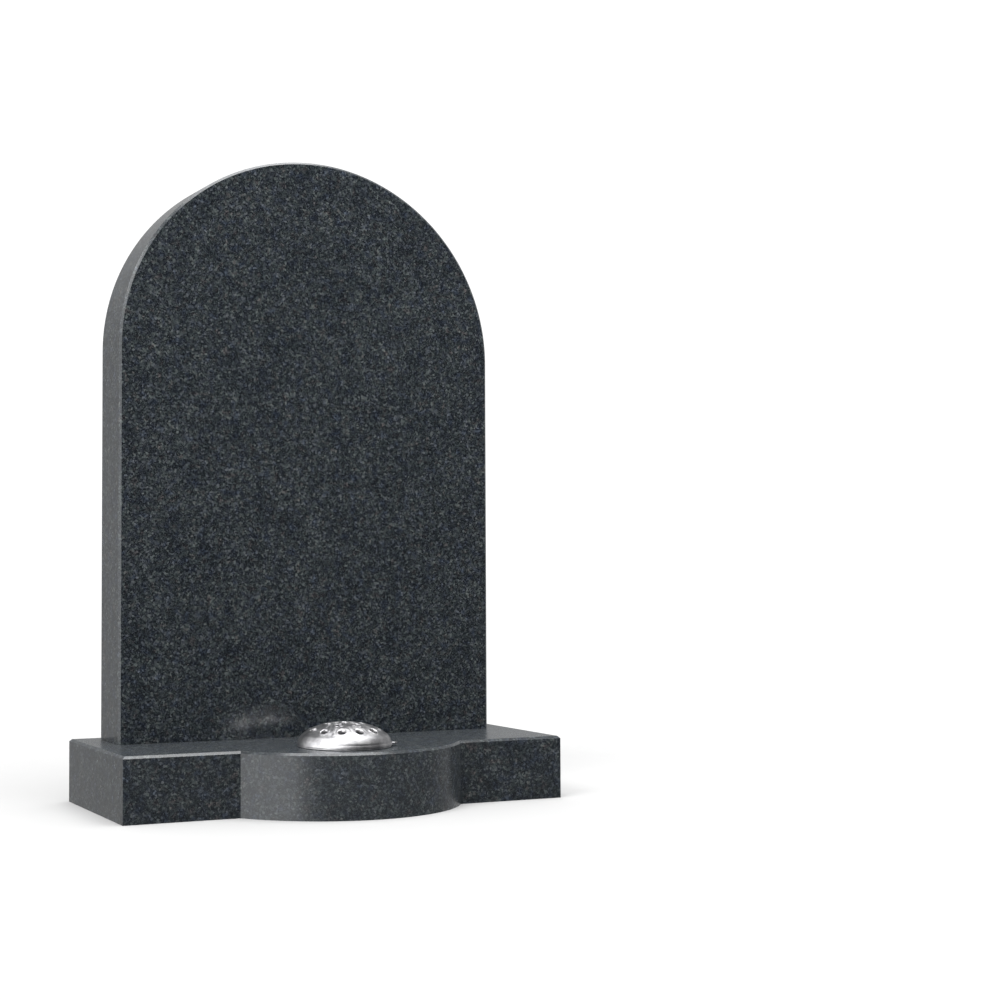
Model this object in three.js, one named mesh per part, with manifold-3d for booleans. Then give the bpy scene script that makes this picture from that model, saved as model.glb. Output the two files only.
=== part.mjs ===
import * as THREE from 'three';
import { mergeVertices } from 'three/addons/utils/BufferGeometryUtils.js';
import Module from 'manifold-3d';

const wasm = await Module();
wasm.setup();

// Headstone on a bow-fronted base with a drilled-in flower pot and a pierced lid.
// Millimetres, +Z up, +X to the right of someone facing the headstone, front towards -Y.
// Origin under the middle of the base's outline, on the ground.

// Upright stone
const TABLET_WIDTH = 533;
const TABLET_HEIGHT = 762;
const TABLET_THICKNESS = 76;
const HEAD_RISE = 258;
const TABLET_SETBACK = 129;

// Base stone: two wings with a bow between them
const BASE_WIDTH = 604;
const BASE_HEIGHT = 81;
const WING_DEPTH = 226;
const BOW_CHORD = 305;
const BOW_PROJECTION = 78;

// Small flat cut along the stones' edges
const ARRIS = 3;

// Flower pot: a spun cup that hangs by its flange in the base's hole
const CUP_RADIUS = 50;
const CUP_WALL = 1.5;
const CUP_FLOOR = 2;
const CUP_GROUND_CLEARANCE = 6;
const FLANGE_WIDTH = 8.5;
const FLANGE_THICKNESS = 2.2;
const POT_CENTRE_X = -12;
const POT_BEHIND_WING_FRONT = 2;
const CUP_CLEARANCE = 1;

// Lid: a rounded skirt out to its foot and a shallow dome, pierced with raised-rim holes
const LID_OVERHANG = 1;
const SHOULDER_SET_IN = 5.5;
const SKIRT_FULLNESS = 1.7;
const LID_WALL = 1.6;
const SKIRT_HEIGHT = 11.8;
const DOME_RISE = 14.4;
const DOME_FULLNESS = 2.6;
const HOLE_RADIUS = 5;
const RIM_WIDTH = 2.4;
const RIM_RAISE = 1;
const OUTER_RING = { radius: 43, count: 12, turn: 0 };
const INNER_RING = { radius: 22, count: 6, turn: 15 };
const TAB_REACH = 6.5;
const TAB_WIDTH = 10;
const TAB_THICKNESS = 2.4;
const TAB_TURN = -20;

// Air left between pieces that rest on each other
const REST_GAP = 0.3;

// Facets
const HEAD_SEGMENTS = 48;
const BOW_SEGMENTS = 28;
const ROUND_SEGMENTS = 48;
const HOLE_SEGMENTS = 12;
const DOME_STEPS = 6;
const SKIRT_STEPS = 3;
const CUT_MARGIN = 20;

const DEGREE = Math.PI / 180;

const granite = (color) => new THREE.MeshStandardMaterial({ color, roughness: 0.12, metalness: 0 });
const aluminium = (color, roughness) => new THREE.MeshStandardMaterial({ color, roughness, metalness: 1 });

function solid(geometry) {
  const bare = geometry.clone();
  bare.deleteAttribute('normal');
  bare.deleteAttribute('uv');
  const merged = mergeVertices(bare);
  return new wasm.Manifold(new wasm.Mesh({
    numProp: 3,
    vertProperties: Float32Array.from(merged.attributes.position.array),
    triVerts: Uint32Array.from(merged.index.array),
  }));
}

function pieceOf(name, body, material) {
  const mesh = body.getMesh();
  const geometry = new THREE.BufferGeometry();
  geometry.setAttribute('position', new THREE.BufferAttribute(Float32Array.from(mesh.vertProperties), 3));
  geometry.setIndex(new THREE.BufferAttribute(Uint32Array.from(mesh.triVerts), 1));
  geometry.computeVertexNormals();
  const piece = new THREE.Mesh(geometry, material);
  piece.name = name;
  return piece;
}

// Box that takes away everything below z = 0, so that a foot stays sharp
function belowGround(width, depth) {
  const side = 2 * Math.max(width, depth) + 2 * CUT_MARGIN;
  return solid(new THREE.BoxGeometry(side, side, CUT_MARGIN).translate(0, 0, -CUT_MARGIN / 2));
}

function arrisedSlab(shape, thickness, curveSegments) {
  return new THREE.ExtrudeGeometry(shape, {
    depth: thickness - 2 * ARRIS,
    curveSegments,
    bevelEnabled: true,
    bevelThickness: ARRIS,
    bevelSize: ARRIS,
    bevelOffset: -ARRIS,
    bevelSegments: 1,
  });
}

function tabletSolid() {
  const half = TABLET_WIDTH / 2;
  const spring = TABLET_HEIGHT - HEAD_RISE;
  const front = new THREE.Shape();
  front.moveTo(-half, -ARRIS);
  front.lineTo(half, -ARRIS);
  front.lineTo(half, spring);
  front.absellipse(0, spring, half, HEAD_RISE, 0, Math.PI, false);
  front.lineTo(-half, -ARRIS);
  const slab = arrisedSlab(front, TABLET_THICKNESS, HEAD_SEGMENTS);
  slab.translate(0, 0, ARRIS - TABLET_THICKNESS);
  slab.rotateX(90 * DEGREE);
  return solid(slab).subtract(belowGround(TABLET_WIDTH, TABLET_THICKNESS));
}

function baseSolid() {
  const half = BASE_WIDTH / 2;
  const halfChord = BOW_CHORD / 2;
  const bowRadius = (halfChord ** 2 + BOW_PROJECTION ** 2) / (2 * BOW_PROJECTION);
  const bowCentreY = bowRadius - BOW_PROJECTION;
  const halfAngle = Math.atan2(halfChord, bowCentreY);
  const plan = new THREE.Shape();
  plan.moveTo(-half, 0);
  plan.lineTo(-halfChord, 0);
  plan.absarc(0, bowCentreY, bowRadius, -90 * DEGREE - halfAngle, -90 * DEGREE + halfAngle, false);
  plan.lineTo(half, 0);
  plan.lineTo(half, WING_DEPTH);
  plan.lineTo(-half, WING_DEPTH);
  plan.lineTo(-half, 0);
  const slab = arrisedSlab(plan, BASE_HEIGHT + ARRIS, BOW_SEGMENTS);
  const holeRadius = CUP_RADIUS + CUP_CLEARANCE;
  const drill = new THREE.CylinderGeometry(holeRadius, holeRadius, BASE_HEIGHT + 2 * CUT_MARGIN, ROUND_SEGMENTS);
  drill.rotateX(90 * DEGREE);
  drill.translate(POT_CENTRE_X, POT_BEHIND_WING_FRONT, BASE_HEIGHT / 2);
  return solid(slab)
    .subtract(belowGround(BASE_WIDTH, WING_DEPTH + BOW_PROJECTION))
    .subtract(solid(drill));
}

function revolved(profile) {
  const points = profile.map(([r, z]) => new THREE.Vector2(r, z));
  return solid(new THREE.LatheGeometry(points, ROUND_SEGMENTS).rotateX(90 * DEGREE));
}

// Cup with its flange's underside at z = 0
function potSolid() {
  const bottom = CUP_GROUND_CLEARANCE - BASE_HEIGHT - REST_GAP;
  const inner = CUP_RADIUS - CUP_WALL;
  const flange = CUP_RADIUS + FLANGE_WIDTH;
  return revolved([
    [0, bottom],
    [CUP_RADIUS, bottom],
    [CUP_RADIUS, 0],
    [flange, 0],
    [flange, FLANGE_THICKNESS],
    [inner, FLANGE_THICKNESS],
    [inner, bottom + CUP_FLOOR],
    [0, bottom + CUP_FLOOR],
  ]);
}

const lidRadius = CUP_RADIUS + FLANGE_WIDTH + LID_OVERHANG;
const shoulderRadius = lidRadius - SHOULDER_SET_IN;

// Domed shell with its skirt's foot at z = 0; extra raises its outer face alone
function domeShell(extra) {
  const profile = [];
  const inner = shoulderRadius - LID_WALL;
  for (let step = 0; step <= DOME_STEPS; step += 1) {
    const r = inner * step / DOME_STEPS;
    profile.push([r, SKIRT_HEIGHT - LID_WALL + DOME_RISE * (1 - (r / inner) ** DOME_FULLNESS)]);
  }
  profile.push([lidRadius - LID_WALL, 0]);
  for (let step = 0; step < SKIRT_STEPS; step += 1) {
    const share = step / SKIRT_STEPS;
    profile.push([lidRadius - SHOULDER_SET_IN * share ** SKIRT_FULLNESS, share * SKIRT_HEIGHT]);
  }
  for (let step = DOME_STEPS; step >= 0; step -= 1) {
    const r = shoulderRadius * step / DOME_STEPS;
    profile.push([r, SKIRT_HEIGHT + extra + DOME_RISE * (1 - (r / shoulderRadius) ** DOME_FULLNESS)]);
  }
  return revolved(profile);
}

function ringPlaces({ radius, count, turn }) {
  const places = [];
  for (let index = 0; index < count; index += 1) {
    const angle = (turn - 90) * DEGREE + index * 2 * Math.PI / count;
    places.push([radius * Math.cos(angle), radius * Math.sin(angle)]);
  }
  return places;
}

function posts(places, radius) {
  const height = SKIRT_HEIGHT + DOME_RISE + CUT_MARGIN;
  return places.map(([x, y]) => {
    const post = new THREE.CylinderGeometry(radius, radius, height, HOLE_SEGMENTS);
    return solid(post.rotateX(90 * DEGREE).translate(x, y, height / 2));
  });
}

const joined = (solids) => solids.reduce((whole, next) => whole.add(next));

function lidSolid() {
  const places = [...ringPlaces(OUTER_RING), ...ringPlaces(INNER_RING), [0, 0]];
  const rims = domeShell(RIM_RAISE).intersect(joined(posts(places, HOLE_RADIUS + RIM_WIDTH)));
  const tab = new THREE.Shape();
  const root = lidRadius - LID_WALL / 2;
  const roundCentre = lidRadius + TAB_REACH - TAB_WIDTH / 2;
  tab.moveTo(root, -TAB_WIDTH / 2);
  tab.absarc(roundCentre, 0, TAB_WIDTH / 2, -90 * DEGREE, 90 * DEGREE, false);
  tab.lineTo(root, TAB_WIDTH / 2);
  tab.lineTo(root, -TAB_WIDTH / 2);
  const tabSlab = new THREE.ExtrudeGeometry(tab, {
    depth: TAB_THICKNESS,
    bevelEnabled: false,
    curveSegments: HOLE_SEGMENTS,
  });
  tabSlab.rotateZ(TAB_TURN * DEGREE);
  return domeShell(0)
    .add(rims)
    .add(solid(tabSlab))
    .subtract(joined(posts(places, HOLE_RADIUS)));
}

const headstone = new THREE.Group();
const wingFrontY = (BOW_PROJECTION - WING_DEPTH) / 2;

const base = pieceOf('base', baseSolid(), granite(0x3c4044));
base.position.set(0, wingFrontY, 0);
headstone.add(base);

const tablet = pieceOf('tablet', tabletSolid(), granite(0x34383c));
tablet.position.set(0, wingFrontY + TABLET_SETBACK, BASE_HEIGHT + REST_GAP);
headstone.add(tablet);

const flowerHolder = new THREE.Group();
flowerHolder.position.set(POT_CENTRE_X, wingFrontY + POT_BEHIND_WING_FRONT, BASE_HEIGHT + REST_GAP);
flowerHolder.add(pieceOf('flower_pot', potSolid(), aluminium(0xb9bbbd, 0.4)));
const lid = pieceOf('flower_lid', lidSolid(), aluminium(0xd2d4d6, 0.3));
lid.position.set(0, 0, FLANGE_THICKNESS + REST_GAP);
flowerHolder.add(lid);
headstone.add(flowerHolder);

export default headstone;
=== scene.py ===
import math

import bmesh
import bpy
from mathutils import Matrix, Vector


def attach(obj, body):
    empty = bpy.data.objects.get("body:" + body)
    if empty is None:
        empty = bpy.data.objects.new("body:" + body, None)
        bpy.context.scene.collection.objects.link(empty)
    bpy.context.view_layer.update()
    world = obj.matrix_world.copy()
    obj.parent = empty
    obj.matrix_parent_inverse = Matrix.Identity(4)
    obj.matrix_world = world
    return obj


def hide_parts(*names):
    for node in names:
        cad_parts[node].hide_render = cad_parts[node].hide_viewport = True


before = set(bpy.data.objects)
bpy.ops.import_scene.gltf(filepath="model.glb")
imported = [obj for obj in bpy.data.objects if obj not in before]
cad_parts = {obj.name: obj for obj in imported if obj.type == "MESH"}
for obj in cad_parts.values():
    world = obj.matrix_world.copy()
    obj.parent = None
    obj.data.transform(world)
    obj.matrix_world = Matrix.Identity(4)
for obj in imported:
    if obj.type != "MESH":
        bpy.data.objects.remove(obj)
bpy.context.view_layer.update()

MM = 0.001

# Sizes shared with the solids, in metres
TABLET_WIDTH = 533 * MM
TABLET_HEIGHT = 762 * MM
TABLET_THICKNESS = 76 * MM
HEAD_RISE = 258 * MM
TABLET_SETBACK = 129 * MM
BASE_WIDTH = 604 * MM
BASE_HEIGHT = 81 * MM
WING_DEPTH = 226 * MM
BOW_CHORD = 305 * MM
BOW_PROJECTION = 78 * MM
ARRIS = 3 * MM
REST_GAP = 0.3 * MM
WING_FRONT_Y = (BOW_PROJECTION - WING_DEPTH) / 2
CUP_RADIUS = 50 * MM
CUP_WALL = 1.5 * MM
CUP_FLOOR = 2 * MM
CUP_GROUND_CLEARANCE = 6 * MM
CUP_CLEARANCE = 1 * MM
FLANGE_RADIUS = CUP_RADIUS + 8.5 * MM
FLANGE_THICKNESS = 2.2 * MM
POT_X = -12 * MM
POT_Y = WING_FRONT_Y + 2 * MM
POT_Z = BASE_HEIGHT + REST_GAP
LID_Z = POT_Z + FLANGE_THICKNESS + REST_GAP
LID_RADIUS = FLANGE_RADIUS + 1 * MM
SHOULDER_SET_IN = 5.5 * MM
SHOULDER_RADIUS = LID_RADIUS - SHOULDER_SET_IN
SKIRT_FULLNESS = 1.7
LID_WALL = 1.6 * MM
SKIRT_HEIGHT = 11.8 * MM
DOME_RISE = 14.4 * MM
DOME_FULLNESS = 2.6
LID_HOLE_RADIUS = 5 * MM
RIM_WIDTH = 2.4 * MM
RIM_RAISE = 0.95 * MM
OUTER_RING = {"radius": 43 * MM, "count": 12, "turn": 0}
INNER_RING = {"radius": 22 * MM, "count": 6, "turn": 15}
RING_START_DEGREES = -90
TAB_REACH = 6.5 * MM
TAB_WIDTH = 10 * MM
TAB_THICKNESS = 2.4 * MM
TAB_TURN = math.radians(-20)

# Small forms that only the dressed pieces have
METAL_EDGE = 0.5 * MM
GROOVE_DEPTH = 0.35 * MM
GROOVE_STEPS = (3, 4)
PETALS = {"folds": 6, "swirl": 3.5, "share": 0.6}
VEINS = {"folds": 15, "swirl": -8.0, "share": 0.4}
PATTERN_EDGE = 0.95
PATTERN_FADE = 0.12
ARRIS_SOFTNESS = 0.12

# Smoothness of the curved outlines
HEAD_STEPS = 128
BOW_STEPS = 72
ROUND_STEPS = 128
DOME_RINGS = 44
DOME_SPOKES = 288
SKIRT_STEPS = 12
ARRIS_STEPS = 3
HOLE_STEPS = 32
TAB_END_STEPS = 24
SHARP_ANGLE = math.radians(28)

# How far each stone face is from polished, from 0 to 1
SAWN = 1.0
RUBBED_BACK = 0.45
RUBBED_TOP = 0.4
FINE_RUBBED = 0.25
WING_FRONT_FINISH = 0.1
POLISHED = 0.0


def socket_in(tree, name, kind, default=None, low=None, high=None):
    item = tree.interface.new_socket(name=name, in_out="INPUT", socket_type=kind)
    if default is not None:
        item.default_value = default
        item.min_value = low
        item.max_value = high


def socket_out(tree, name, kind):
    tree.interface.new_socket(name=name, in_out="OUTPUT", socket_type=kind)


def add_node(tree, kind, **settings):
    node = tree.nodes.new(kind)
    for key, value in settings.items():
        setattr(node, key, value)
    return node


def wire(tree, source, target):
    tree.links.new(source, target)


def math_node(tree, operation, *values):
    """Result of an operation on numbers or sockets, given in the order of its inputs."""
    node = add_node(tree, "ShaderNodeMath", operation=operation)
    for slot, value in zip(node.inputs, values):
        if isinstance(value, (int, float)):
            slot.default_value = value
        else:
            wire(tree, value, slot)
    return node.outputs[0]


def dot_node(tree, source, direction):
    node = add_node(tree, "ShaderNodeVectorMath", operation="DOT_PRODUCT")
    node.inputs[1].default_value = direction
    wire(tree, source, node.inputs[0])
    return node.outputs["Value"]


def length_node(tree, source):
    node = add_node(tree, "ShaderNodeVectorMath", operation="LENGTH")
    wire(tree, source, node.inputs[0])
    return node.outputs["Value"]


def blend(tree, source, low, high, at_low, at_high):
    """A smooth change from at_low to at_high while the source goes from low to high."""
    node = add_node(tree, "ShaderNodeMapRange", interpolation_type="SMOOTHSTEP")
    for name, value in (("From Min", low), ("From Max", high), ("To Min", at_low), ("To Max", at_high)):
        node.inputs[name].default_value = value
    wire(tree, source, node.inputs["Value"])
    return node.outputs[0]


def ramp(tree, source, stops):
    node = add_node(tree, "ShaderNodeValToRGB")
    elements = node.color_ramp.elements
    while len(elements) < len(stops):
        elements.new(0.5)
    for element, (place, colour) in zip(elements, stops):
        element.position = place
        element.color = (*colour, 1)
    wire(tree, source, node.inputs[0])
    return node.outputs[0]


def mix_colour(tree, mode, factor, first, second):
    node = add_node(tree, "ShaderNodeMix", data_type="RGBA", blend_type=mode)
    for slot, value in ((node.inputs[0], factor), (node.inputs[6], first), (node.inputs[7], second)):
        if isinstance(value, (int, float)):
            slot.default_value = value
        elif isinstance(value, tuple):
            slot.default_value = (*value, 1)
        else:
            wire(tree, value, slot)
    return node.outputs[2]


def cells(tree, vector, scale):
    node = add_node(tree, "ShaderNodeTexVoronoi")
    node.inputs["Scale"].default_value = scale
    wire(tree, vector, node.inputs["Vector"])
    split = add_node(tree, "ShaderNodeSeparateColor")
    wire(tree, node.outputs["Color"], split.inputs[0])
    return node.outputs["Distance"], split.outputs


def noise(tree, vector, scale, detail, rough):
    node = add_node(tree, "ShaderNodeTexNoise")
    node.inputs["Scale"].default_value = scale
    node.inputs["Detail"].default_value = detail
    node.inputs["Roughness"].default_value = rough
    wire(tree, vector, node.inputs["Vector"])
    return node.outputs["Fac"]


def finish_group(name, extra_socket, extra_default):
    """A finish's group with its sockets: places and one amount go in, and the surface comes out."""
    tree = bpy.data.node_groups.new(name, "ShaderNodeTree")
    socket_in(tree, "Place", "NodeSocketVector")
    socket_in(tree, extra_socket, "NodeSocketFloat", extra_default, 0.0, 1.0)
    socket_out(tree, "Colour", "NodeSocketColor")
    socket_out(tree, "Roughness", "NodeSocketFloat")
    socket_out(tree, "Height", "NodeSocketFloat")
    entry = add_node(tree, "NodeGroupInput")
    leave = add_node(tree, "NodeGroupOutput")
    return tree, entry, leave


def granite_group():
    """Crystals of a dark granite: colour, polish and the faint relief of its grain."""
    tree, entry, leave = finish_group("granite_grain", "Sawn", POLISHED)
    place = entry.outputs["Place"]
    sawn = entry.outputs["Sawn"]

    crystal_bend = 0.0028
    warp = add_node(tree, "ShaderNodeTexNoise")
    warp.inputs["Scale"].default_value = 260
    wire(tree, place, warp.inputs["Vector"])
    bend = add_node(tree, "ShaderNodeVectorMath", operation="MULTIPLY_ADD")
    bend.inputs[1].default_value = (crystal_bend, crystal_bend, crystal_bend)
    wire(tree, warp.outputs["Color"], bend.inputs[0])
    wire(tree, place, bend.inputs[2])
    bent = bend.outputs[0]
    distance, coarse = cells(tree, bent, scale=390)
    _, fine = cells(tree, bent, scale=920)

    coarse_shades = [
        (0.0, (0.005, 0.0066, 0.0092)),
        (0.38, (0.0105, 0.0135, 0.0175)),
        (0.58, (0.023, 0.028, 0.034)),
        (0.78, (0.054, 0.061, 0.067)),
        (0.91, (0.094, 0.103, 0.11)),
        (1.0, (0.17, 0.18, 0.188)),
    ]
    fine_shades = [
        (0.0, (0.005, 0.007, 0.0105)),
        (0.5, (0.019, 0.024, 0.031)),
        (0.82, (0.06, 0.067, 0.075)),
        (1.0, (0.14, 0.148, 0.156)),
    ]
    fine_share = 0.46
    coarse_colour = ramp(tree, coarse[0], coarse_shades)
    fine_colour = ramp(tree, fine[1], fine_shades)
    colour = mix_colour(tree, "MIX", fine_share, coarse_colour, fine_colour)

    patch_tones = [(0.3, (0.52, 0.55, 0.6)), (0.5, (0.78, 0.78, 0.78)), (0.7, (0.98, 0.97, 0.95))]
    patch = noise(tree, place, scale=46, detail=4.0, rough=0.6)
    colour = mix_colour(tree, "MULTIPLY", 1.0, colour, ramp(tree, patch, patch_tones))

    crystal_tints = [
        (0.3, (0.84, 0.95, 1.14)),
        (0.45, (0.98, 1.0, 1.02)),
        (0.56, (0.95, 1.05, 0.98)),
        (0.7, (1.13, 0.98, 0.93)),
    ]
    tint_choice = noise(tree, bent, scale=88, detail=2.0, rough=0.5)
    colour = mix_colour(tree, "MULTIPLY", 1.0, colour, ramp(tree, tint_choice, crystal_tints))

    sawn_grey = (0.13, 0.14, 0.15)
    sawn_paleness = 0.5
    pale = mix_colour(tree, "MIX", sawn_paleness, colour, sawn_grey)
    wire(tree, mix_colour(tree, "MIX", sawn, colour, pale), leave.inputs["Colour"])

    polish_roughness = 0.1
    smear_share, crystal_share, sawn_share = 0.06, 0.03, 0.3
    smear = noise(tree, place, scale=9, detail=5.0, rough=0.6)
    roughness = math_node(tree, "MULTIPLY_ADD", smear, smear_share, polish_roughness)
    roughness = math_node(tree, "MULTIPLY_ADD", fine[0], crystal_share, roughness)
    roughness = math_node(tree, "MULTIPLY_ADD", sawn, sawn_share, roughness)
    wire(tree, roughness, leave.inputs["Roughness"])

    pit_depth = 0.25
    pits = math_node(tree, "MULTIPLY", distance, pit_depth)
    saw_marks = noise(tree, place, scale=640, detail=2.0, rough=0.5)
    marks = math_node(tree, "MULTIPLY", saw_marks, sawn)
    wire(tree, math_node(tree, "ADD", pits, marks), leave.inputs["Height"])
    return tree


def metal_group():
    """Spun and pressed aluminium: rings of the spinning, dull patches and fine scuffs."""
    tree, entry, leave = finish_group("spun_aluminium", "Worn", 0.3)
    place = entry.outputs["Place"]

    shift = add_node(tree, "ShaderNodeVectorMath", operation="SUBTRACT")
    shift.inputs[1].default_value = (POT_X, POT_Y, 0)
    wire(tree, place, shift.inputs[0])
    split = add_node(tree, "ShaderNodeSeparateXYZ")
    wire(tree, shift.outputs[0], split.inputs[0])
    flat = add_node(tree, "ShaderNodeCombineXYZ")
    wire(tree, split.outputs[0], flat.inputs[0])
    wire(tree, split.outputs[1], flat.inputs[1])
    ring_place = add_node(tree, "ShaderNodeCombineXYZ")
    wire(tree, length_node(tree, flat.outputs[0]), ring_place.inputs[0])
    wire(tree, split.outputs[2], ring_place.inputs[1])

    rings = noise(tree, ring_place.outputs[0], scale=1500, detail=3.0, rough=0.6)
    dull = noise(tree, place, scale=60, detail=5.0, rough=0.62)
    scuffs = noise(tree, place, scale=900, detail=2.0, rough=0.6)
    dull_shades = [(0.34, (0.4, 0.4, 0.415)), (0.5, (0.6, 0.595, 0.61)), (0.66, (0.76, 0.755, 0.76))]
    streak_shades = [(0.3, (0.86, 0.86, 0.87)), (0.7, (1.06, 1.06, 1.05))]
    colour = ramp(tree, dull, dull_shades)
    streaks = ramp(tree, rings, streak_shades)
    wire(tree, mix_colour(tree, "MULTIPLY", 1.0, colour, streaks), leave.inputs["Colour"])

    least_roughness = 0.24
    roughness = math_node(tree, "MULTIPLY_ADD", dull, entry.outputs["Worn"], least_roughness)
    wire(tree, roughness, leave.inputs["Roughness"])
    wire(tree, math_node(tree, "ADD", rings, scuffs), leave.inputs["Height"])
    return tree


def make_material(name, group, metallic, bump, extra_socket, attribute=None, value=0.0):
    """A material from a finish's group; its amount is a number or an attribute of the mesh."""
    material = bpy.data.materials.new(name)
    material.use_nodes = True
    tree = material.node_tree
    shader = tree.nodes["Principled BSDF"]
    shader.inputs["Metallic"].default_value = metallic
    place = add_node(tree, "ShaderNodeTexCoord")
    pattern = add_node(tree, "ShaderNodeGroup", node_tree=group)
    wire(tree, place.outputs["Object"], pattern.inputs["Place"])
    if attribute:
        mark = add_node(tree, "ShaderNodeAttribute", attribute_name=attribute)
        wire(tree, mark.outputs["Fac"], pattern.inputs[extra_socket])
    else:
        pattern.inputs[extra_socket].default_value = value
    wire(tree, pattern.outputs["Colour"], shader.inputs["Base Color"])
    wire(tree, pattern.outputs["Roughness"], shader.inputs["Roughness"])
    relief = add_node(tree, "ShaderNodeBump")
    relief.inputs["Strength"].default_value = bump["strength"]
    relief.inputs["Distance"].default_value = bump["distance"]
    wire(tree, pattern.outputs["Height"], relief.inputs["Height"])
    wire(tree, relief.outputs[0], shader.inputs["Normal"])
    return material


def keep_piece(name, mesh, material, node):
    piece = bpy.data.objects.new(name, mesh)
    bpy.context.scene.collection.objects.link(piece)
    mesh.materials.clear()
    mesh.materials.append(material)
    mesh.shade_smooth()
    mesh.set_sharp_from_angle(angle=SHARP_ANGLE)
    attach(piece, "root")
    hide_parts(node)


def finished_mesh(name, work):
    """The working mesh as a mesh of its own, with its faces turned outwards."""
    bmesh.ops.recalc_face_normals(work, faces=work.faces)
    mesh = bpy.data.meshes.new(name)
    work.to_mesh(mesh)
    work.free()
    return mesh


def inset_outline(outline, distance):
    """The outline moved inwards by distance; it runs anticlockwise."""
    moved = []
    count = len(outline)
    for index, point in enumerate(outline):
        before = Vector(point) - Vector(outline[index - 1])
        after = Vector(outline[(index + 1) % count]) - Vector(point)
        first = Vector((-before.y, before.x)).normalized()
        second = Vector((-after.y, after.x)).normalized()
        bisector = (first + second) / (1 + first.dot(second))
        moved.append(tuple(Vector(point) + bisector * distance))
    return moved


def arris_profile():
    """Pairs of (inset, drop) across a nearly flat arris with softened shoulders."""
    bulge, narrowing, lift = 0.5, 0.2, 0.3
    profile = [(0.0, 1 + ARRIS_SOFTNESS)]
    for step in range(ARRIS_STEPS + 1):
        along = step / ARRIS_STEPS
        crown = ARRIS_SOFTNESS * math.sin(along * math.pi) * bulge
        profile.append((along * (1 - crown * narrowing), 1 - along + crown * lift))
    profile.append((1 + ARRIS_SOFTNESS, 0.0))
    return [(inset * ARRIS, drop * ARRIS) for inset, drop in profile]


def stack_mesh(name, layers, finish_of):
    """Closed mesh through a stack of equal loops of points, capped at both ends."""
    work = bmesh.new()
    loops = [[work.verts.new(point) for point in layer] for layer in layers]
    for lower, upper in zip(loops, loops[1:]):
        count = len(lower)
        for index in range(count):
            follow = (index + 1) % count
            work.faces.new((lower[index], lower[follow], upper[follow], upper[index]))
    work.faces.new(list(reversed(loops[0])))
    work.faces.new(loops[-1])
    bmesh.ops.recalc_face_normals(work, faces=work.faces)
    mark = work.faces.layers.float.new("sawn")
    for face in work.faces:
        face[mark] = finish_of(face)
    return finished_mesh(name, work)


def stone_finish(face):
    """How far a stone's face is from polished, told by where it points and where it lies."""
    squarely, mostly, leaning, level = 0.99, 0.9, 0.3, 0.01
    largest_facet = 4e-3
    normal = face.normal
    if normal.z < -mostly:
        return SAWN
    if normal.y > squarely:
        return RUBBED_BACK
    if normal.z > squarely:
        return RUBBED_TOP
    middle = face.calc_center_median()
    if abs(normal.z) < level and middle.z < BASE_HEIGHT and normal.y < -level:
        return FINE_RUBBED if middle.y < WING_FRONT_Y - 1 * MM else WING_FRONT_FINISH
    slanted = sum(1 for part in normal if abs(part) > leaning) > 1
    if slanted and face.calc_area() < largest_facet and face_is_arris(face):
        return FINE_RUBBED
    return POLISHED


def face_is_arris(face):
    """True on the narrow facets along an edge, far narrower than the sides of the stones."""
    widest = 1.2 * ARRIS
    return min(edge.calc_length() for edge in face.edges) < widest


def build_tablet(material):
    half = TABLET_WIDTH / 2
    spring = TABLET_HEIGHT - HEAD_RISE
    outline = [(-half, 0.0), (half, 0.0)]
    for step in range(HEAD_STEPS + 1):
        angle = math.pi * step / HEAD_STEPS
        outline.append((half * math.cos(angle), spring + HEAD_RISE * math.sin(angle)))
    front = WING_FRONT_Y + TABLET_SETBACK
    foot = BASE_HEIGHT + REST_GAP

    def layer(inset, y):
        points = inset_outline(outline, inset)
        points[0] = (points[0][0], 0.0)
        points[1] = (points[1][0], 0.0)
        return [(x, y, foot + z) for x, z in points]

    profile = arris_profile()
    layers = [layer(inset, front + drop) for inset, drop in reversed(profile)]
    layers += [layer(inset, front + TABLET_THICKNESS - drop) for inset, drop in profile]
    mesh = stack_mesh("upright_stone", layers, stone_finish)
    keep_piece("upright_stone", mesh, material, "tablet")


def cut_away(mesh, cutter_mesh, name):
    """The mesh less the cutter, as a plain mesh."""
    scene = bpy.context.scene
    body = bpy.data.objects.new(name + "_body", mesh)
    cutter = bpy.data.objects.new(name + "_cutter", cutter_mesh)
    scene.collection.objects.link(body)
    scene.collection.objects.link(cutter)
    cut = body.modifiers.new("cut", "BOOLEAN")
    cut.operation = "DIFFERENCE"
    cut.solver = "EXACT"
    cut.object = cutter
    graph = bpy.context.evaluated_depsgraph_get()
    result = bpy.data.meshes.new_from_object(body.evaluated_get(graph))
    result.name = name
    bpy.data.objects.remove(body)
    bpy.data.objects.remove(cutter)
    return result


def drill_mesh():
    """A post right through the base where the pot hangs, wider than the cup by its clearance."""
    low, high = -BASE_HEIGHT, 2 * BASE_HEIGHT
    radius = CUP_RADIUS + CUP_CLEARANCE
    work = bmesh.new()
    place = Matrix.Translation((POT_X, POT_Y, (low + high) / 2))
    bmesh.ops.create_cone(work, cap_ends=True, segments=ROUND_STEPS, radius1=radius, radius2=radius,
                          depth=high - low, matrix=place)
    mesh = bpy.data.meshes.new("drill")
    work.to_mesh(mesh)
    work.free()
    return mesh


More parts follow.
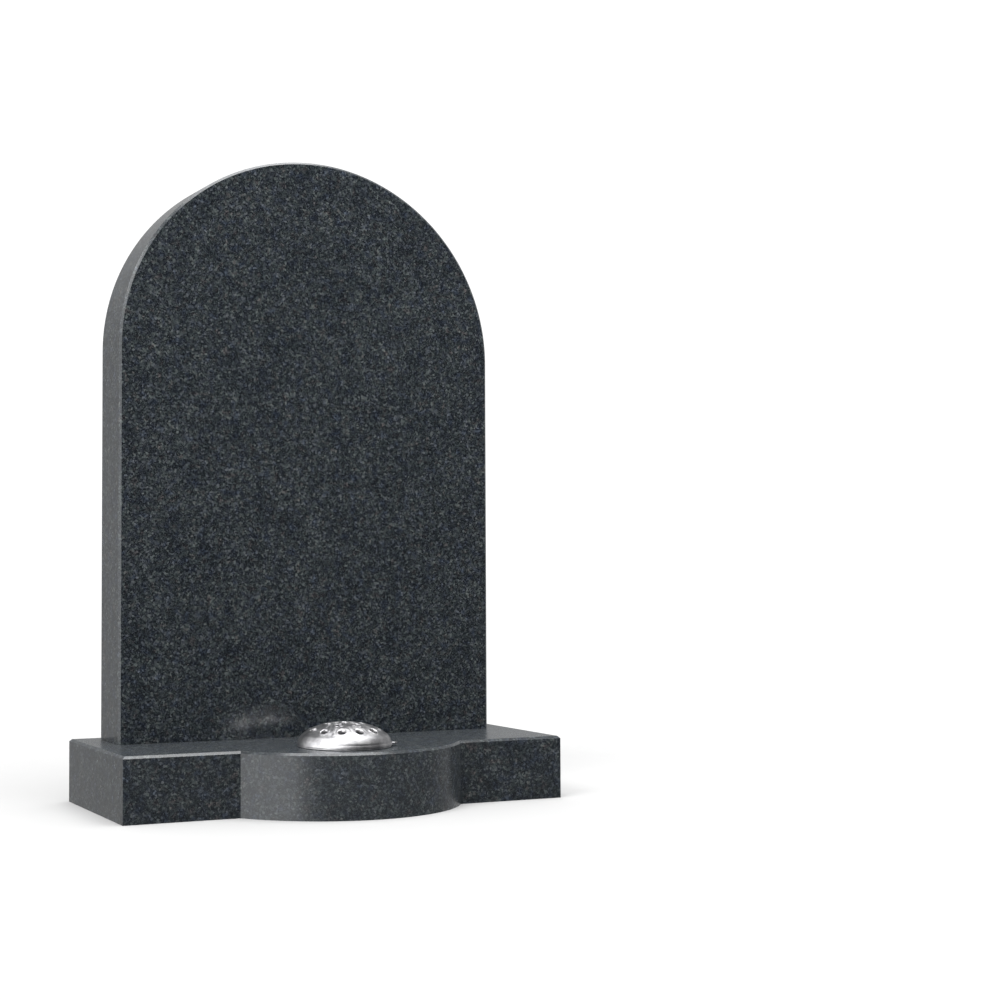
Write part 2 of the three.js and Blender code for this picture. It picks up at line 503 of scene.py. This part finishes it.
def build_base(material):
    half = BASE_WIDTH / 2
    half_chord = BOW_CHORD / 2
    bow_radius = (half_chord ** 2 + BOW_PROJECTION ** 2) / (2 * BOW_PROJECTION)
    bow_centre_y = WING_FRONT_Y + bow_radius - BOW_PROJECTION
    half_angle = math.asin(half_chord / bow_radius)
    back = WING_FRONT_Y + WING_DEPTH
    outline = [(-half, WING_FRONT_Y)]
    for step in range(BOW_STEPS + 1):
        angle = half_angle * (2 * step / BOW_STEPS - 1)
        outline.append((bow_radius * math.sin(angle), bow_centre_y - bow_radius * math.cos(angle)))
    outline += [(half, WING_FRONT_Y), (half, back), (-half, back)]
    layers = [[(x, y, 0.0) for x, y in outline]]
    for inset, drop in arris_profile():
        layers.append([(x, y, BASE_HEIGHT - drop) for x, y in inset_outline(outline, inset)])
    mesh = stack_mesh("base_stone", layers, stone_finish)
    mesh = cut_away(mesh, drill_mesh(), "base_stone")
    keep_piece("base_stone", mesh, material, "base")


def revolve(name, profile, steps):
    """Closed mesh of revolution about the pot's axis; the profile starts and ends on the axis."""
    work = bmesh.new()
    rings = []
    for radius, z in profile:
        ring = []
        for step in range(steps if radius else 1):
            angle = 2 * math.pi * step / steps
            x = POT_X + radius * math.cos(angle)
            y = POT_Y + radius * math.sin(angle)
            ring.append(work.verts.new((x, y, z)))
        rings.append(ring)
    for lower, upper in zip(rings, rings[1:]):
        for step in range(steps):
            follow = (step + 1) % steps
            corners = [lower[step % len(lower)], lower[follow % len(lower)],
                       upper[follow % len(upper)], upper[step % len(upper)]]
            work.faces.new(list(dict.fromkeys(corners)))
    return finished_mesh(name, work)


def build_pot(material):
    bottom = CUP_GROUND_CLEARANCE
    floor_top = bottom + CUP_FLOOR
    foot_round = 2 * METAL_EDGE
    inner = CUP_RADIUS - CUP_WALL
    brim = POT_Z + FLANGE_THICKNESS
    profile = [
        (0, bottom),
        (CUP_RADIUS - foot_round, bottom),
        (CUP_RADIUS, bottom + foot_round),
        (CUP_RADIUS, POT_Z),
        (FLANGE_RADIUS - METAL_EDGE, POT_Z),
        (FLANGE_RADIUS, POT_Z + METAL_EDGE),
        (FLANGE_RADIUS, brim - METAL_EDGE),
        (FLANGE_RADIUS - METAL_EDGE, brim),
        (inner + METAL_EDGE, brim),
        (inner, brim - METAL_EDGE),
        (inner, floor_top),
        (0, floor_top),
    ]
    mesh = revolve("flower_cup", profile, ROUND_STEPS)
    keep_piece("flower_cup", mesh, material, "flower_pot")


def hole_places():
    places = [(0.0, 0.0)]
    for ring in (OUTER_RING, INNER_RING):
        start = math.radians(ring["turn"] + RING_START_DEGREES)
        for index in range(ring["count"]):
            angle = start + 2 * math.pi * index / ring["count"]
            places.append((ring["radius"] * math.cos(angle), ring["radius"] * math.sin(angle)))
    return places


def smooth_step(value):
    value = min(max(value, 0.0), 1.0)
    return value * value * (3 - 2 * value)


def folds_height(folds, angle, share):
    return folds["share"] * abs(math.cos(folds["folds"] * angle + folds["swirl"] * share))


def lid_relief(x, y, places):
    """Height of the pressed pattern: a raised rim round each hole and swirling petals between them."""
    nearest = min(math.hypot(x - px, y - py) for px, py in places)
    rim_middle = LID_HOLE_RADIUS + RIM_WIDTH / 2
    rim_slope = RIM_WIDTH * 0.75
    clear_slope = RIM_WIDTH * 1.2
    rim = smooth_step(1 - abs(nearest - rim_middle) / rim_slope)
    angle = math.atan2(y, x)
    share = math.hypot(x, y) / SHOULDER_RADIUS
    reach = smooth_step((PATTERN_EDGE - share) / PATTERN_FADE)
    clear = smooth_step((nearest - rim_middle) / clear_slope)
    pattern = reach * clear * (folds_height(PETALS, angle, share) + folds_height(VEINS, angle, share))
    return RIM_RAISE * max(rim, pattern)


def crown_rise(x, y, edge_radius):
    """Height of the plain dome above its edge."""
    share = min(math.hypot(x, y) / edge_radius, 1.0)
    return DOME_RISE * (1 - share ** DOME_FULLNESS)


def dome_mesh():
    """The lid's shell before it is pierced, its skirt and inner face included."""
    places = hole_places()
    inner_radius = SHOULDER_RADIUS - LID_WALL
    work = bmesh.new()

    def ring_of(radius, height_of):
        points = []
        for step in range(DOME_SPOKES):
            angle = 2 * math.pi * step / DOME_SPOKES
            x, y = radius * math.cos(angle), radius * math.sin(angle)
            points.append(work.verts.new((POT_X + x, POT_Y + y, LID_Z + height_of(x, y))))
        return points

    def outer(x, y):
        return SKIRT_HEIGHT + crown_rise(x, y, SHOULDER_RADIUS) + lid_relief(x, y, places)

    def inner(x, y):
        return SKIRT_HEIGHT - LID_WALL + crown_rise(x, y, inner_radius)

    crown = work.verts.new((POT_X, POT_Y, LID_Z + outer(0, 0)))
    rings = [ring_of(SHOULDER_RADIUS * (index + 1) / DOME_RINGS, outer) for index in range(DOME_RINGS)]
    for step in range(SKIRT_STEPS - 1, -1, -1):
        share = step / SKIRT_STEPS
        groove = GROOVE_DEPTH if step in GROOVE_STEPS else 0.0
        radius = LID_RADIUS - SHOULDER_SET_IN * share ** SKIRT_FULLNESS - groove
        rings.append(ring_of(radius, lambda x, y, height=share * SKIRT_HEIGHT: height))
    rings.append(ring_of(LID_RADIUS - LID_WALL, lambda x, y: 0.0))
    inner_rings = DOME_RINGS // 4
    for index in range(inner_rings):
        rings.append(ring_of(inner_radius * (inner_rings - index) / inner_rings, inner))
    under = work.verts.new((POT_X, POT_Y, LID_Z + inner(0, 0)))
    for upper, lower in zip(rings, rings[1:]):
        for step in range(DOME_SPOKES):
            follow = (step + 1) % DOME_SPOKES
            work.faces.new((upper[step], lower[step], lower[follow], upper[follow]))
    for step in range(DOME_SPOKES):
        follow = (step + 1) % DOME_SPOKES
        work.faces.new((crown, rings[0][step], rings[0][follow]))
        work.faces.new((under, rings[-1][follow], rings[-1][step]))
    return finished_mesh("lid_shell", work)


def piercing_tree(material):
    """Posts stand in two rings and at the middle, and are cut out of the shell."""
    tree = bpy.data.node_groups.new("pierce_lid", "GeometryNodeTree")
    socket_in(tree, "Geometry", "NodeSocketGeometry")
    socket_in(tree, "Hole radius", "NodeSocketFloat", LID_HOLE_RADIUS, low=0.001, high=0.02)
    socket_in(tree, "Outer ring radius", "NodeSocketFloat", OUTER_RING["radius"], low=0.01, high=0.1)
    socket_in(tree, "Outer ring holes", "NodeSocketInt", OUTER_RING["count"], low=3, high=40)
    socket_in(tree, "Inner ring radius", "NodeSocketFloat", INNER_RING["radius"], low=0.005, high=0.1)
    socket_in(tree, "Inner ring holes", "NodeSocketInt", INNER_RING["count"], low=3, high=40)
    socket_out(tree, "Geometry", "NodeSocketGeometry")
    entry = add_node(tree, "NodeGroupInput")
    leave = add_node(tree, "NodeGroupOutput")
    gather = add_node(tree, "GeometryNodeJoinGeometry")
    for ring, label in ((OUTER_RING, "Outer"), (INNER_RING, "Inner")):
        circle = add_node(tree, "GeometryNodeMeshCircle", fill_type="NONE")
        wire(tree, entry.outputs[label + " ring holes"], circle.inputs["Vertices"])
        wire(tree, entry.outputs[label + " ring radius"], circle.inputs["Radius"])
        turn = add_node(tree, "GeometryNodeTransform")
        start = math.radians(ring["turn"] + RING_START_DEGREES)
        turn.inputs["Rotation"].default_value = (0, 0, start)
        wire(tree, circle.outputs["Mesh"], turn.inputs["Geometry"])
        wire(tree, turn.outputs["Geometry"], gather.inputs[0])
    middle = add_node(tree, "GeometryNodePoints")
    wire(tree, middle.outputs["Geometry"], gather.inputs[0])
    post = add_node(tree, "GeometryNodeMeshCylinder")
    post.inputs["Vertices"].default_value = HOLE_STEPS
    post.inputs["Depth"].default_value = 4 * (SKIRT_HEIGHT + DOME_RISE)
    wire(tree, entry.outputs["Hole radius"], post.inputs["Radius"])
    stand = add_node(tree, "GeometryNodeInstanceOnPoints")
    wire(tree, gather.outputs[0], stand.inputs["Points"])
    wire(tree, post.outputs["Mesh"], stand.inputs["Instance"])
    real = add_node(tree, "GeometryNodeRealizeInstances")
    wire(tree, stand.outputs[0], real.inputs[0])
    move = add_node(tree, "GeometryNodeTransform")
    move.inputs["Translation"].default_value = (POT_X, POT_Y, LID_Z)
    wire(tree, real.outputs[0], move.inputs["Geometry"])
    cut = add_node(tree, "GeometryNodeMeshBoolean", operation="DIFFERENCE", solver="EXACT")
    wire(tree, entry.outputs["Geometry"], cut.inputs["Mesh 1"])
    wire(tree, move.outputs["Geometry"], cut.inputs["Mesh 2"])
    final = add_node(tree, "GeometryNodeRealizeInstances")
    wire(tree, cut.outputs["Mesh"], final.inputs[0])
    paint = add_node(tree, "GeometryNodeSetMaterial")
    paint.inputs["Material"].default_value = material
    wire(tree, final.outputs[0], paint.inputs["Geometry"])
    wire(tree, paint.outputs["Geometry"], leave.inputs[0])
    return tree


def pierced(mesh, material):
    holder = bpy.data.objects.new("lid_work", mesh)
    bpy.context.scene.collection.objects.link(holder)
    holder.modifiers.new("pierce", "NODES").node_group = piercing_tree(material)
    graph = bpy.context.evaluated_depsgraph_get()
    result = bpy.data.meshes.new_from_object(holder.evaluated_get(graph))
    result.name = "flower_lid_shell"
    bpy.data.objects.remove(holder)
    return result


def tab_mesh():
    """Thumb tab at the lid's right side: a flat tongue with a round end and softened edges."""
    root = LID_RADIUS - LID_WALL / 2
    end_radius = TAB_WIDTH / 2
    end_centre = LID_RADIUS + TAB_REACH - end_radius
    outline = [(root, -end_radius)]
    for step in range(TAB_END_STEPS + 1):
        angle = math.pi * (step / TAB_END_STEPS - 0.5)
        outline.append((end_centre + end_radius * math.cos(angle), end_radius * math.sin(angle)))
    outline.append((root, end_radius))
    turn = Matrix.Rotation(TAB_TURN, 2)
    side_top = TAB_THICKNESS - METAL_EDGE
    profile = [(METAL_EDGE, 0.0), (0.0, METAL_EDGE), (0.0, side_top), (METAL_EDGE, TAB_THICKNESS)]
    layers = []
    for inset, z in profile:
        points = [turn @ Vector(point) for point in inset_outline(outline, inset)]
        layers.append([(POT_X + x, POT_Y + y, LID_Z + z) for x, y in points])
    return stack_mesh("lid_tab", layers, lambda face: POLISHED)


def build_lid(material):
    shell = pierced(dome_mesh(), material)
    keep_piece("flower_lid_dome", shell, material, "flower_lid")
    keep_piece("flower_lid_tab", tab_mesh(), material, "flower_lid")


def build_floor():
    """Pale ground that fades out round the stones and isn't mirrored in them."""
    half = 6.0
    shade_lit = (0.25, 0.25, 0.25)
    shade_seen = (0.52, 0.52, 0.52)
    fade_start, fade_end = 0.6, 1.1
    corners = [(-half, -half, 0), (half, -half, 0), (half, half, 0), (-half, half, 0)]
    mesh = bpy.data.meshes.new("floor")
    mesh.from_pydata(corners, [], [(0, 1, 2, 3)])
    floor = bpy.data.objects.new("floor", mesh)
    bpy.context.scene.collection.objects.link(floor)
    material = bpy.data.materials.new("floor_white")
    material.use_nodes = True
    tree = material.node_tree
    shader = tree.nodes["Principled BSDF"]
    shader.inputs["Roughness"].default_value = 0.9
    shader.inputs["Specular IOR Level"].default_value = 0.1
    path = add_node(tree, "ShaderNodeLightPath")
    shade = mix_colour(tree, "MIX", path.outputs["Is Camera Ray"], shade_lit, shade_seen)
    wire(tree, shade, shader.inputs["Base Color"])
    place = add_node(tree, "ShaderNodeTexCoord")
    reach = length_node(tree, place.outputs["Object"])
    fade = blend(tree, reach, fade_start, fade_end, at_low=1.0, at_high=0.0)
    unmirrored = math_node(tree, "SUBTRACT", 1.0, path.outputs["Is Glossy Ray"])
    wire(tree, math_node(tree, "MULTIPLY", fade, unmirrored), shader.inputs["Alpha"])
    mesh.materials.append(material)


def build_world():
    """White surroundings; mirrored they are dimmer, dark at the front right and bright at the left."""
    front_right = (0.5, -0.866, 0.0)
    left = (-0.9945, -0.1045, 0.0)
    dark_start, dark_full = 0.2, 0.9
    mirrored_bright, mirrored_dark = 0.46, 0.08
    panel_start, panel_full = 0.5, 0.8
    panel_brightness = 1.9
    light_brightness = 1.0
    backdrop_brightness = 1.1
    world = bpy.data.worlds.new("studio")
    bpy.context.scene.world = world
    world.use_nodes = True
    tree = world.node_tree
    tree.nodes.clear()
    place = add_node(tree, "ShaderNodeTexCoord")
    ahead = dot_node(tree, place.outputs["Generated"], front_right)
    mirrored = blend(tree, ahead, dark_start, dark_full, at_low=mirrored_bright, at_high=mirrored_dark)
    aside = dot_node(tree, place.outputs["Generated"], left)
    panel = blend(tree, aside, panel_start, panel_full, at_low=0.0, at_high=panel_brightness)
    reflected = math_node(tree, "ADD", mirrored, panel)
    path = add_node(tree, "ShaderNodeLightPath")
    glossy = add_node(tree, "ShaderNodeMix", data_type="FLOAT")
    wire(tree, path.outputs["Is Glossy Ray"], glossy.inputs[0])
    glossy.inputs[2].default_value = light_brightness
    wire(tree, reflected, glossy.inputs[3])
    strength = add_node(tree, "ShaderNodeMix", data_type="FLOAT")
    wire(tree, path.outputs["Is Camera Ray"], strength.inputs[0])
    wire(tree, glossy.outputs[0], strength.inputs[2])
    strength.inputs[3].default_value = backdrop_brightness
    sky = add_node(tree, "ShaderNodeBackground")
    sky.inputs["Color"].default_value = (1, 1, 1, 1)
    wire(tree, strength.outputs[0], sky.inputs["Strength"])
    out = add_node(tree, "ShaderNodeOutputWorld")
    wire(tree, sky.outputs[0], out.inputs["Surface"])


def add_lamp(name, place, target, size, power):
    data = bpy.data.lights.new(name, "AREA")
    data.energy = power
    data.size = size
    lamp = bpy.data.objects.new(name, data)
    lamp.location = place
    lamp.rotation_euler = (Vector(target) - Vector(place)).to_track_quat("-Z", "Y").to_euler()
    bpy.context.scene.collection.objects.link(lamp)


def build_camera():
    """Low viewpoint to the left of the front, with the frame shifted sideways."""
    place = (-0.9294, -2.0188, 0.3104)
    focal_px, frame_px = 1715.3, 1000
    centre_x_px, centre_y_px = 300.0, 499.0
    yaw, pitch, roll = math.radians(23.75), math.radians(2.11), math.radians(-0.02)
    ahead = Vector((math.sin(yaw) * math.cos(pitch), math.cos(yaw) * math.cos(pitch), math.sin(pitch)))
    level = Vector((math.cos(yaw), -math.sin(yaw), 0))
    up = level.cross(ahead)
    right = level * math.cos(roll) + up * math.sin(roll)
    upward = up * math.cos(roll) - level * math.sin(roll)
    data = bpy.data.cameras.new("camera")
    data.sensor_width = 36
    data.lens = data.sensor_width * focal_px / frame_px
    data.shift_x = (frame_px / 2 - centre_x_px) / frame_px
    data.shift_y = (centre_y_px - frame_px / 2) / frame_px
    camera = bpy.data.objects.new("camera", data)
    turn = Matrix((right, upward, -ahead)).transposed().to_4x4()
    camera.matrix_world = Matrix.Translation(place) @ turn
    bpy.context.scene.collection.objects.link(camera)
    bpy.context.scene.camera = camera


granite = granite_group()
metal = metal_group()
stone_bump = {"strength": 0.12, "distance": 0.0004}
metal_bump = {"strength": 0.55, "distance": 0.0005}
tablet_stone = make_material("tablet_granite", granite, 0.0, stone_bump, "Sawn", attribute="sawn")
base_stone = make_material("base_granite", granite, 0.0, stone_bump, "Sawn", attribute="sawn")
pot_metal = make_material("pot_aluminium", metal, 1.0, metal_bump, "Worn", value=0.4)
lid_metal = make_material("lid_aluminium", metal, 1.0, metal_bump, "Worn", value=0.2)

build_tablet(tablet_stone)
build_base(base_stone)
build_pot(pot_metal)
build_lid(lid_metal)

build_camera()
build_floor()
build_world()
add_lamp("key_left", place=(-2.4, -1.5, 2.6), target=(0, 0, 0.3), size=1.6, power=60)
add_lamp("overhead", place=(0.3, -0.2, 3.2), target=(0, 0, 0), size=2.4, power=110)
bpy.context.scene.view_settings.view_transform = "Standard"
bpy.context.scene.view_settings.look = "None"
